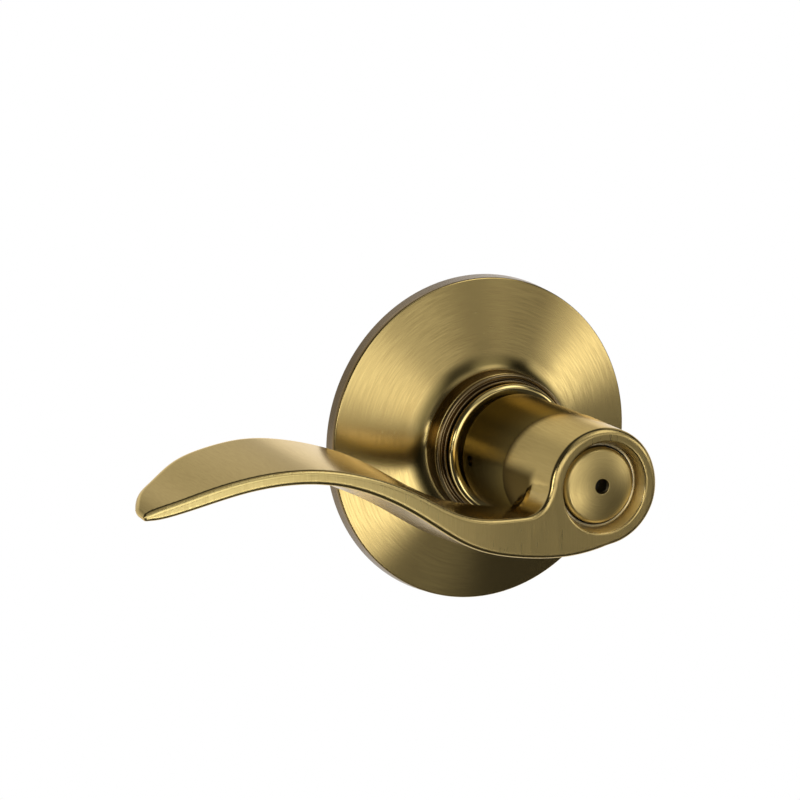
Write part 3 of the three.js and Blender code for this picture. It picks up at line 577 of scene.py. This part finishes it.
def straight_marks(tree, place, way, width):
    """Lines brushed straight along an axis: their field, a field for strokes across them, and the way they
    run."""
    length = 6.0
    scale = [scale_for(length if c else width) for c in way]
    lean_about, lean = (0, 0, 1) if way[0] else (1, 0, 0), math.radians(4)
    field = add(tree, "ShaderNodeVectorMath", {"in0": place}, operation="MULTIPLY", in1=scale).outputs[0]
    leaned = add(tree, "ShaderNodeVectorRotate", {"Vector": place}, rotation_type="AXIS_ANGLE",
                 Axis=lean_about, Angle=lean).outputs[0]
    crossing = add(tree, "ShaderNodeVectorMath", {"in0": leaned}, operation="MULTIPLY", in1=scale).outputs[0]
    line = add(tree, "ShaderNodeCombineXYZ", in0=way[0], in1=way[1], in2=way[2]).outputs[0]
    return field, crossing, line


def clear_of_painted_hollow_shade(tree, place, darkest, outer, inner):
    """Share that is 0 where the radius is darkest, and 1 outside the outer radius or inside the inner one:
    the mask of a ring of painted shade.
    """
    _, radius = away_from_axis(tree, place)
    outside, inside = [
        add(tree, "ShaderNodeMapRange", {"Value": radius}, From_Min=darkest * MM, From_Max=end * MM,
            interpolation_type="SMOOTHSTEP").outputs[0]
        for end in (outer, inner)]
    return add(tree, "ShaderNodeMath", {"in0": outside, "in1": inside}, operation="MAXIMUM").outputs[0]


def clear_of_painted_crease_shade(tree, place, fade):
    """Share that is 0 behind the head's crease and over the blade's root, and 1 at fade mm from them: the
    mask of the painted shade there.
    """
    x, y, z = add(tree, "ShaderNodeSeparateXYZ", {"in0": place}).outputs
    past = add(tree, "ShaderNodeVectorMath", {"in0": place}, operation="DOT_PRODUCT",
               in1=(-CREASE_SLOPE, -1, 0)).outputs["Value"]
    past = add(tree, "ShaderNodeMath", {"in0": past}, operation="SUBTRACT", in1=CREASE[1] * MM).outputs[0]
    level, height = ROOT_SHADE
    above = add(tree, "ShaderNodeMath", {"in0": z}, operation="SUBTRACT", in1=level * MM).outputs[0]
    front = add(tree, "ShaderNodeMath", {"in0": y}, operation="MULTIPLY_ADD", in1=-1,
                in2=-height * MM).outputs[0]
    right = add(tree, "ShaderNodeMath", {"in0": x}, operation="ADD", in1=ROOT_SHADE_END * MM).outputs[0]
    clear, blend = above, 1.5 * MM
    for other, choice in ((front, "SMOOTH_MAX"), (right, "SMOOTH_MAX"), (past, "SMOOTH_MIN")):
        clear = add(tree, "ShaderNodeMath", {"in0": clear, "in1": other}, operation=choice,
                    in2=blend).outputs[0]
    return add(tree, "ShaderNodeMapRange", {"Value": clear}, From_Min=0.0, From_Max=fade * MM,
               interpolation_type="SMOOTHSTEP").outputs[0]


def worked_metal(name, tones, roughness, anisotropic, marks, width=0.3, turns=5.0, scratches=0.3,
                 softness=0.65, hollow=None, crease=None, painted_tip_highlight=None, edge="FFFFFF"):
    """Metal whose surface shows the lines of the tool that finished it.

    marks is "round" for a surface spun or turned about the spindle's axis, or else the direction of straight
    brushing. Lines are width mm wide, which is coarser than the real ones, so that they show. Round ones are
    a radian divided by turns long, and straight ones 6 mm.
    tones are the brown and the relieved tone, softness is how gradually one gives way to the other, and
    scratches is how strongly single dark lines cross the others.
    hollow is a brown tone of painted shade round a hollow, partly the bath's brown left where the wheel
    couldn't reach, the radius where it is darkest, and the radii outside and inside where it has given way to
    the others.
    crease is a brown tone of painted shade along the crease of the lever's head and over the blade's root,
    partly the bath's brown left there, and the width over which it fades.
    handled is two paler tones that paint a highlight on the blade's free end, and where along X they start
    and are reached, in mm.
    edge is the lacquer's tint where the surface turns away.
    """
    material, tree = started(name)
    place = add(tree, "ShaderNodeTexCoord").outputs["Object"]
    if marks == "round":
        field, crossing, line = round_marks(tree, place, turns, width)
    else:
        field, crossing, line = straight_marks(tree, place, marks, width)
    line = add(tree, "ShaderNodeVectorTransform", {"in0": line}, vector_type="VECTOR", convert_from="OBJECT",
               convert_to="WORLD").outputs[0]
    facing = add(tree, "ShaderNodeNewGeometry").outputs["Normal"]
    tangent = add(tree, "ShaderNodeVectorMath", {"in0": facing, "in1": line},
                  operation="CROSS_PRODUCT").outputs[0]

    fine = add(tree, "ShaderNodeTexNoise", {"Vector": field}, Scale=1.0, Detail=2.0, Roughness=0.6).outputs[0]
    single = add(tree, "ShaderNodeTexNoise", {"Vector": crossing}, Scale=0.8, Detail=1.0).outputs[0]
    cloud = add(tree, "ShaderNodeTexNoise", {"Vector": place}, Scale=scale_for(16.667), Detail=3.0).outputs[0]
    scratch = add(tree, "ShaderNodeMapRange", {"Value": single}, From_Min=0.62, From_Max=0.72,
                  To_Max=scratches).outputs[0]
    lines = add(tree, "ShaderNodeMath", {"in0": fine, "in1": scratch}, operation="SUBTRACT").outputs[0]
    lines = add(tree, "ShaderNodeMath", {"in0": cloud, "in2": lines}, operation="MULTIPLY_ADD",
                in1=0.5).outputs[0]
    share = add(tree, "ShaderNodeMapRange", {"Value": lines}, From_Min=0.75 - softness,
                From_Max=0.75 + softness).outputs[0]
    colour = add(tree, "ShaderNodeMix", {"in0": share}, data_type="RGBA", in6=linear(tones[0]),
                 in7=linear(tones[1])).outputs[2]
    # Paler tones towards the blade's free end: a painted highlight.
    if painted_tip_highlight:
        brown, bright, start, end = painted_tip_highlight
        tip_highlight_colour = add(tree, "ShaderNodeMix", {"in0": share}, data_type="RGBA", in6=linear(brown),
                     in7=linear(bright)).outputs[2]
        x = add(tree, "ShaderNodeSeparateXYZ", {"in0": place}).outputs[0]
        reached = add(tree, "ShaderNodeMapRange", {"Value": x}, From_Min=start * MM,
                      From_Max=end * MM).outputs[0]
        colour = add(tree, "ShaderNodeMix", {"in0": reached, "in6": colour, "in7": tip_highlight_colour},
                     data_type="RGBA").outputs[2]
    # Brown laid over the hollow and along the crease: painted shade, partly the bath's brown left there.
    for painted_shade_tone, out_of in ((hollow, clear_of_painted_hollow_shade), (crease, clear_of_painted_crease_shade)):
        if painted_shade_tone:
            brown, *limits = painted_shade_tone
            colour = add(tree, "ShaderNodeMix", {"in0": out_of(tree, place, *limits), "in7": colour},
                         data_type="RGBA", in6=linear(brown)).outputs[2]
    rough = add(tree, "ShaderNodeMapRange", {"Value": lines}, From_Min=0.4, From_Max=1.1,
                To_Min=roughness * 1.25, To_Max=roughness * 0.85).outputs[0]
    bump = add(tree, "ShaderNodeBump", {"Height": lines}, Strength=0.02, Distance=0.1 * MM).outputs[0]
    shader = add(tree, "ShaderNodeBsdfPrincipled",
                 {"Base Color": colour, "Roughness": rough, "Normal": bump, "Tangent": tangent},
                 Metallic=1.0, Anisotropic=anisotropic, Specular_Tint=linear(edge))
    add(tree, "ShaderNodeOutputMaterial", {"Surface": shader.outputs[0]})
    return material


# Antique brass: brass browned in a bath, then relieved on an abrasive wheel and lacquered. The wheel leaves
# short lines that catch the light gold where they are rubbed through, and olive where the brown stays.
BRASS_TONES = ("B69B61", "DFC782")
# Spun on a lathe: lines run round the rose and draw each light into a fan. A brown ring round the flare's
# foot is painted shade in the hollow, partly the bath's brown left there.
spun_brass = worked_metal("antique_brass_spun", BRASS_TONES, 0.22, 0.85, "round", scratches=0.1, softness=0.9,
                          hollow=("6B5E38", 16.0, 18.8, 14.9))
# Brushed from back to front on the blade's top and underside: broad soft lights.
side_brass = worked_metal("antique_brass_brushed_along", BRASS_TONES, 0.17, 0.4, (0, 1, 0), scratches=0.1,
                          softness=1.2, edge="F8F0E4")
# The head is brushed the same way, up to the crease, where brown is painted shade along the crease and over
# the blade's root, partly the bath's brown left there.
head_brass = worked_metal("antique_brass_head", BRASS_TONES, 0.17, 0.4, (0, 1, 0), scratches=0.1,
                          softness=1.2, crease=("4A3C20", 3.0), edge="E6DAC4")
# Brushed up and down on the face: fine upright lines, and an even glow, with paler tones towards the free end
# that paint a highlight there.
face_brass = worked_metal("antique_brass_brushed_across", BRASS_TONES, 0.3, 0.6, (0, 0, 1), scratches=0.15,
                          softness=0.8, painted_tip_highlight=("E8CC80", "FDE9A0", -24, -76))
# Faced on a lathe: fine rings, and no fan, because the dome was buffed after turning.
cap_brass = worked_metal("antique_brass_faced", BRASS_TONES, 0.34, 0.0, "round", width=0.2, turns=1.5,
                         scratches=0.15)
# The pocket's wall and the ledge under the cap get paler tones than the rest of the brass: a painted
# highlight.
pocket_brass_painted_highlight = worked_metal("antique_brass_bored_painted_highlight", ("DECFA4", "F6EACA"), 0.28, 0.3, "round", turns=2.0)
# The wheel can't reach the neck, the rose's rim or the blade's back, so the bath's brown stays on them.
brown_brass = worked_metal("antique_brass_unrelieved", ("6B5E38", "867648"), 0.2, 0.7, "round", turns=1.5,
                           scratches=0.1, softness=1.0, edge="DACCB4")
rim_brass = worked_metal("antique_brass_rim", ("74592A", "8A6F36"), 0.26, 0.6, "round", width=0.2, turns=6.0)
# Turned, then left to darken: a dull grey-gold with thin rings.
aged_brass = worked_metal("aged_brass_turned", ("7F6D4E", "98845F"), 0.24, 0.2, "round", width=0.2, turns=2.0,
                          softness=1.0)
# Turned and buffed: bright gold with sharp lights.
polished_brass = worked_metal("polished_brass_turned", ("DFC47C", "F0D894"), 0.14, 0.2, "round", turns=2.0,
                              scratches=0.0, softness=1.0)


def zinc_plate():
    """Pressed or turned steel, bright zinc plated and clear passivated.

    Rolled sheet under the plating shows as a fine drawn grain, the zinc's crystals as faint clouds about 3 mm
    wide, and the passivation as a very slight drift between blue and straw.
    """
    material, tree = started("zinc_plated_steel")
    place = add(tree, "ShaderNodeTexCoord").outputs["Object"]
    grain_size = [scale_for(size) for size in (3.333, 0.4, 0.2857)]
    grain = add(tree, "ShaderNodeVectorMath", {"in0": place}, operation="MULTIPLY", in1=grain_size).outputs[0]
    grain = add(tree, "ShaderNodeTexNoise", {"Vector": grain}, Scale=1.0, Detail=3.0).outputs[0]
    cloud = add(tree, "ShaderNodeTexNoise", {"Vector": place}, Scale=scale_for(3.03), Detail=4.0,
                Roughness=0.65).outputs[0]
    tint = add(tree, "ShaderNodeTexNoise", {"Vector": place}, Scale=scale_for(11.11), Detail=1.0).outputs[0]
    tint = add(tree, "ShaderNodeMapRange", {"Value": tint}, From_Min=0.35, From_Max=0.65).outputs[0]
    colour = add(tree, "ShaderNodeMix", {"in0": tint}, data_type="RGBA", in6=linear("BABDC1"),
                 in7=linear("BFBEB9")).outputs[2]
    both = add(tree, "ShaderNodeMath", {"in0": grain, "in1": cloud}, operation="ADD").outputs[0]
    rough = add(tree, "ShaderNodeMapRange", {"Value": both}, From_Min=0.7, From_Max=1.3, To_Min=0.34,
                To_Max=0.46).outputs[0]
    bump = add(tree, "ShaderNodeBump", {"Height": both}, Strength=0.06, Distance=0.1 * MM).outputs[0]
    shader = add(tree, "ShaderNodeBsdfPrincipled", {"Base Color": colour, "Roughness": rough, "Normal": bump},
                 Metallic=1.0)
    add(tree, "ShaderNodeOutputMaterial", {"Surface": shader.outputs[0]})
    return material


def drawn_spring_steel():
    """Oil-tempered spring wire: a blue-black skin of oxide, and the grey of the steel where it has worn."""
    material, tree = started("oil_tempered_spring_steel")
    place = add(tree, "ShaderNodeTexCoord").outputs["Object"]
    skin = add(tree, "ShaderNodeTexNoise", {"Vector": place}, Scale=scale_for(1.111), Detail=3.0,
               Roughness=0.6).outputs[0]
    rub = add(tree, "ShaderNodeTexNoise", {"Vector": place}, Scale=scale_for(5.556), Detail=2.0).outputs[0]
    worn = add(tree, "ShaderNodeMapRange", {"Value": rub}, From_Min=0.5, From_Max=0.72).outputs[0]
    colour = add(tree, "ShaderNodeMix", {"in0": worn}, data_type="RGBA", in6=linear("4A4C52"),
                 in7=linear("8B8D90")).outputs[2]
    rough = add(tree, "ShaderNodeMapRange", {"Value": skin}, From_Min=0.3, From_Max=0.7, To_Min=0.24,
                To_Max=0.42).outputs[0]
    bump = add(tree, "ShaderNodeBump", {"Height": skin}, Strength=0.1, Distance=0.05 * MM).outputs[0]
    shader = add(tree, "ShaderNodeBsdfPrincipled", {"Base Color": colour, "Roughness": rough, "Normal": bump},
                 Metallic=1.0)
    add(tree, "ShaderNodeOutputMaterial", {"Surface": shader.outputs[0]})
    return material


def sintered_iron():
    """Iron powder pressed and sintered, then filled with oil: matt dark grey grains about 0.18 mm across with
    open pores between them, and an oily gloss in patches."""
    material, tree = started("oil_filled_sintered_iron")
    place = add(tree, "ShaderNodeTexCoord").outputs["Object"]
    grains = add(tree, "ShaderNodeTexVoronoi", {"Vector": place}, Scale=scale_for(0.1818))
    pores = add(tree, "ShaderNodeTexNoise", {"Vector": place}, Scale=scale_for(0.3846), Detail=3.0).outputs[0]
    pore = add(tree, "ShaderNodeMapRange", {"Value": pores}, From_Min=0.58, From_Max=0.66).outputs[0]
    colour = add(tree, "ShaderNodeMix", {"in0": pore}, data_type="RGBA", in6=linear("6B6763"),
                 in7=linear("262422")).outputs[2]
    oil = add(tree, "ShaderNodeTexNoise", {"Vector": place}, Scale=scale_for(8.333)).outputs[0]
    rough = add(tree, "ShaderNodeMapRange", {"Value": oil}, From_Min=0.4, From_Max=0.6, To_Min=0.38,
                To_Max=0.62).outputs[0]
    depth = add(tree, "ShaderNodeMath", {"in0": grains.outputs["Distance"], "in1": pore},
                operation="ADD").outputs[0]
    bump = add(tree, "ShaderNodeBump", {"Height": depth}, Strength=0.3, Distance=0.06 * MM,
               invert=True).outputs[0]
    shader = add(tree, "ShaderNodeBsdfPrincipled", {"Base Color": colour, "Roughness": rough, "Normal": bump},
                 Metallic=0.9)
    add(tree, "ShaderNodeOutputMaterial", {"Surface": shader.outputs[0]})
    return material


def moulded_nylon():
    """Natural nylon 66 from a spark-eroded mould: warm white, slightly cloudy, with a fine even texture about
    0.25 mm across and a soft shine."""
    material, tree = started("natural_nylon_moulded")
    place = add(tree, "ShaderNodeTexCoord").outputs["Object"]
    texture = add(tree, "ShaderNodeTexNoise", {"Vector": place}, Scale=scale_for(0.25), Detail=2.0).outputs[0]
    cloud = add(tree, "ShaderNodeTexNoise", {"Vector": place}, Scale=scale_for(7.143), Detail=2.0).outputs[0]
    colour = add(tree, "ShaderNodeMix", {"in0": cloud}, data_type="RGBA", in6=linear("DCD6C4"),
                 in7=linear("ECE8DC")).outputs[2]
    rough = add(tree, "ShaderNodeMapRange", {"Value": texture}, From_Min=0.3, From_Max=0.7, To_Min=0.42,
                To_Max=0.58).outputs[0]
    bump = add(tree, "ShaderNodeBump", {"Height": texture}, Strength=0.15, Distance=0.05 * MM).outputs[0]
    shader = add(tree, "ShaderNodeBsdfPrincipled", {"Base Color": colour, "Roughness": rough, "Normal": bump},
                 IOR=1.53, Subsurface_Weight=0.15, Subsurface_Scale=MM)
    shader.inputs["Subsurface Radius"].default_value = (1.0, 0.8, 0.6)
    add(tree, "ShaderNodeOutputMaterial", {"Surface": shader.outputs[0]})
    return material


# ---------------------------------------------------------------- the pieces and their finishes


def finish_lever():
    """Gives each face of the lever's body the finish of the tool that reaches it."""
    body, neck, ledge = lever()
    for finish in (side_brass, face_brass, pocket_brass_painted_highlight, brown_brass, head_brass):
        body.data.materials.append(finish)
    side, front, bored, back, head = range(5)
    square_on, slack = 0.75, 0.1
    for face in body.data.polygons:
        centre = face.center / MM
        height, axis = -centre.y, math.hypot(centre.x, centre.z)
        # The pocket's wall gets the paler brass of the painted highlight.
        if axis < POCKET[0] + 0.02 and 45 < height < FACE - 0.25:
            face.material_index = bored
        elif face.normal.y < -square_on:
            face.material_index = front
        elif face.normal.y > square_on:
            face.material_index = back
        elif axis < CREASE[0] + slack:
            face.material_index = head
        else:
            face.material_index = side
    neck.data.materials.append(brown_brass)
    ledge.data.materials.append(pocket_brass_painted_highlight)


def finish_rose():
    """Spun dish with its rim and its inside left brown."""
    dish = rose()
    for finish in (spun_brass, rim_brass):
        dish.data.materials.append(finish)
    spun, rim = range(2)
    for face in dish.data.polygons:
        face.material_index = rim if face.normal.y > -0.4 else spun


finish_lever()
finish_rose()
collar().data.materials.append(aged_brass)
bead().data.materials.append(polished_brass)
cap().data.materials.append(cap_brass)

FINISHES = {
    "zinc_steel": zinc_plate(),
    "spring_steel": drawn_spring_steel(),
    "sintered_steel": sintered_iron(),
    "nylon": moulded_nylon(),
    "antique_brass": spun_brass,
    "aged_brass": aged_brass,
    "polished_brass": polished_brass,
}
for part in frame["record"]["subparts"]:
    node_mesh = frame["nodes"][part["node"]].data
    node_mesh.materials.clear()
    node_mesh.materials.append(FINISHES[part["material_slot"]])


def spring(name, node):
    """Copy of a CAD spring, whose CAD node is hidden."""
    piece = bpy.data.objects.new(name, frame["nodes"][node].data.copy())
    bpy.context.scene.collection.objects.link(piece)
    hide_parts(node)
    return piece


# The release pin's spring moves with the lever's side, with a mesh of its own.
pin_coil = spring("pin_coil", "pin_spring")
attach(pin_coil, "lever_side")
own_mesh(pin_coil)

# The catch's leaf stays where the CAD spring is, with its place baked into its mesh.
catch_leaf = spring("catch_leaf", "catch_spring")
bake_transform(catch_leaf)


# ---------------------------------------------------------------- camera, floor and lights

VIEW_TURN, VIEW_RISE = math.radians(-27.09), math.radians(11.68)
VIEW_AWAY = 1.5
AIM_RIGHT, AIM_UP = -0.014486, 0.007023  # the place that the camera looks at, from the rose's middle
SENSOR, LENS = 36, 337.4

right = Vector((math.cos(VIEW_TURN), math.sin(VIEW_TURN), 0))
back = Vector((math.sin(VIEW_TURN) * math.cos(VIEW_RISE), -math.cos(VIEW_TURN) * math.cos(VIEW_RISE),
               math.sin(VIEW_RISE)))
up = back.cross(right)
spot = VIEW_AWAY * back + AIM_RIGHT * right + AIM_UP * up
lens = bpy.data.cameras.new("camera")
lens.sensor_width = SENSOR
lens.lens = LENS
camera = bpy.data.objects.new("camera", lens)
bpy.context.scene.collection.objects.link(camera)
camera.matrix_world = Matrix((
    (right.x, up.x, back.x, spot.x),
    (right.y, up.y, back.y, spot.y),
    (right.z, up.z, back.z, spot.z),
    (0, 0, 0, 1),
))
bpy.context.scene.camera = camera
bpy.context.scene.view_settings.view_transform = "Standard"

# The floor starts behind the object and below it. The camera and glossy surfaces see it as white.
HALF_WIDTH, NEAR, FAR, LEVEL = 2, 0.06, 3, -0.35
floor_corners = [(-HALF_WIDTH, NEAR, LEVEL), (HALF_WIDTH, NEAR, LEVEL), (HALF_WIDTH, FAR, LEVEL),
                 (-HALF_WIDTH, FAR, LEVEL)]
floor_mesh = bpy.data.meshes.new("floor")
floor_mesh.from_pydata(floor_corners, [], [(0, 1, 2, 3)])
floor = bpy.data.objects.new("floor", floor_mesh)
bpy.context.scene.collection.objects.link(floor)
floor_paint, tree = started("floor_paint")
rays = add(tree, "ShaderNodeLightPath").outputs
mirrored = add(tree, "ShaderNodeMath", {"in0": rays["Is Glossy Ray"], "in1": rays["Is Transmission Ray"]},
               operation="ADD", use_clamp=True).outputs[0]
seen = add(tree, "ShaderNodeMath", {"in0": mirrored, "in1": rays["Is Camera Ray"]}, operation="ADD",
           use_clamp=True).outputs[0]
paint = add(tree, "ShaderNodeBsdfDiffuse", Color=linear("E8E8E8")).outputs[0]
glow = add(tree, "ShaderNodeEmission", Color=(1, 1, 1, 1), Strength=1.0).outputs[0]
both = add(tree, "ShaderNodeMixShader", {"in0": seen, "in1": paint, "in2": glow}).outputs[0]
add(tree, "ShaderNodeOutputMaterial", {"Surface": both})
floor_mesh.materials.append(floor_paint)


def aimed(turn, rise):
    """Direction from the object: turn in degrees from the front towards the right, rise above the horizon."""
    turn, rise = math.radians(turn), math.radians(rise)
    return Vector((math.sin(turn) * math.cos(rise), -math.cos(turn) * math.cos(rise), math.sin(rise)))


# Softboxes and white walls far away, each a round patch of the world: its turn and rise, the angles from its
# middle at which it starts to fade and ends, and how bright a mirror would show it.
ROOM_LEVEL = 0.04
SOFTBOXES = (
    # in front and below: the rose's left and lower half, the cap, and the blade's face
    (-21, 14, 2, 28, 1.7),
    (2, 2, 3, 10, 1.4),
    (9, -12, 1, 8, 0.8),
    (1.5, -23, 2, 14.5, 2.9),
    (20, -38, 2, 13, 0.22),
    # in front and above: the rose's upper half
    (13, 11, 2, 13, 0.9),
    (27, 16, 2, 10, 0.3),
    (39, 12, 2, 12, 0.5),
    # above: rounded edges
    (40, 44, 4, 20, 1.5),
    (66, 58, 5, 18, 0.7),
    (15, 66, 10, 40, 0.4),
    # to the right: the rose's right side
    (52, -0.5, 1, 8, 2.4),
    (60, 10, 0, 13, 2.5),
    (58, -8, 2, 11, 0.35),
    # to the left, and behind: the neck, the blade's top and its back
    (-72, 8, 2, 15, 3.4),
    (124, 36, 2, 20, 0.4),
    (135, -13, 30, 38, 0.7),
    (170, 28, 5, 25, 0.3),
    (-178, -5, 19, 58, 0.68),
)
world = bpy.data.worlds.new("studio")
bpy.context.scene.world = world
world.use_nodes = True
tree = world.node_tree
tree.nodes.clear()
rays = add(tree, "ShaderNodeLightPath").outputs
direction = add(tree, "ShaderNodeTexCoord").outputs["Generated"]
studio = add(tree, "ShaderNodeValue").outputs[0]
studio.default_value = ROOM_LEVEL
for turn, rise, inner, outer, level in SOFTBOXES:
    way = add(tree, "ShaderNodeVectorMath", {"in0": direction}, operation="DOT_PRODUCT",
              in1=aimed(turn, rise)).outputs["Value"]
    patch = add(tree, "ShaderNodeMapRange", {"Value": way}, From_Min=math.cos(math.radians(outer)),
                From_Max=math.cos(math.radians(inner)), To_Max=level,
                interpolation_type="SMOOTHSTEP").outputs[0]
    studio = add(tree, "ShaderNodeMath", {"in0": studio, "in1": patch}, operation="ADD").outputs[0]
grey = add(tree, "ShaderNodeMix", {"in0": rays["Is Camera Ray"], "in2": studio}, data_type="FLOAT",
           in3=1.0).outputs[0]
light = add(tree, "ShaderNodeBackground", {"Strength": grey}, Color=(1, 1, 1, 1)).outputs[0]
add(tree, "ShaderNodeOutputWorld", {"Surface": light})
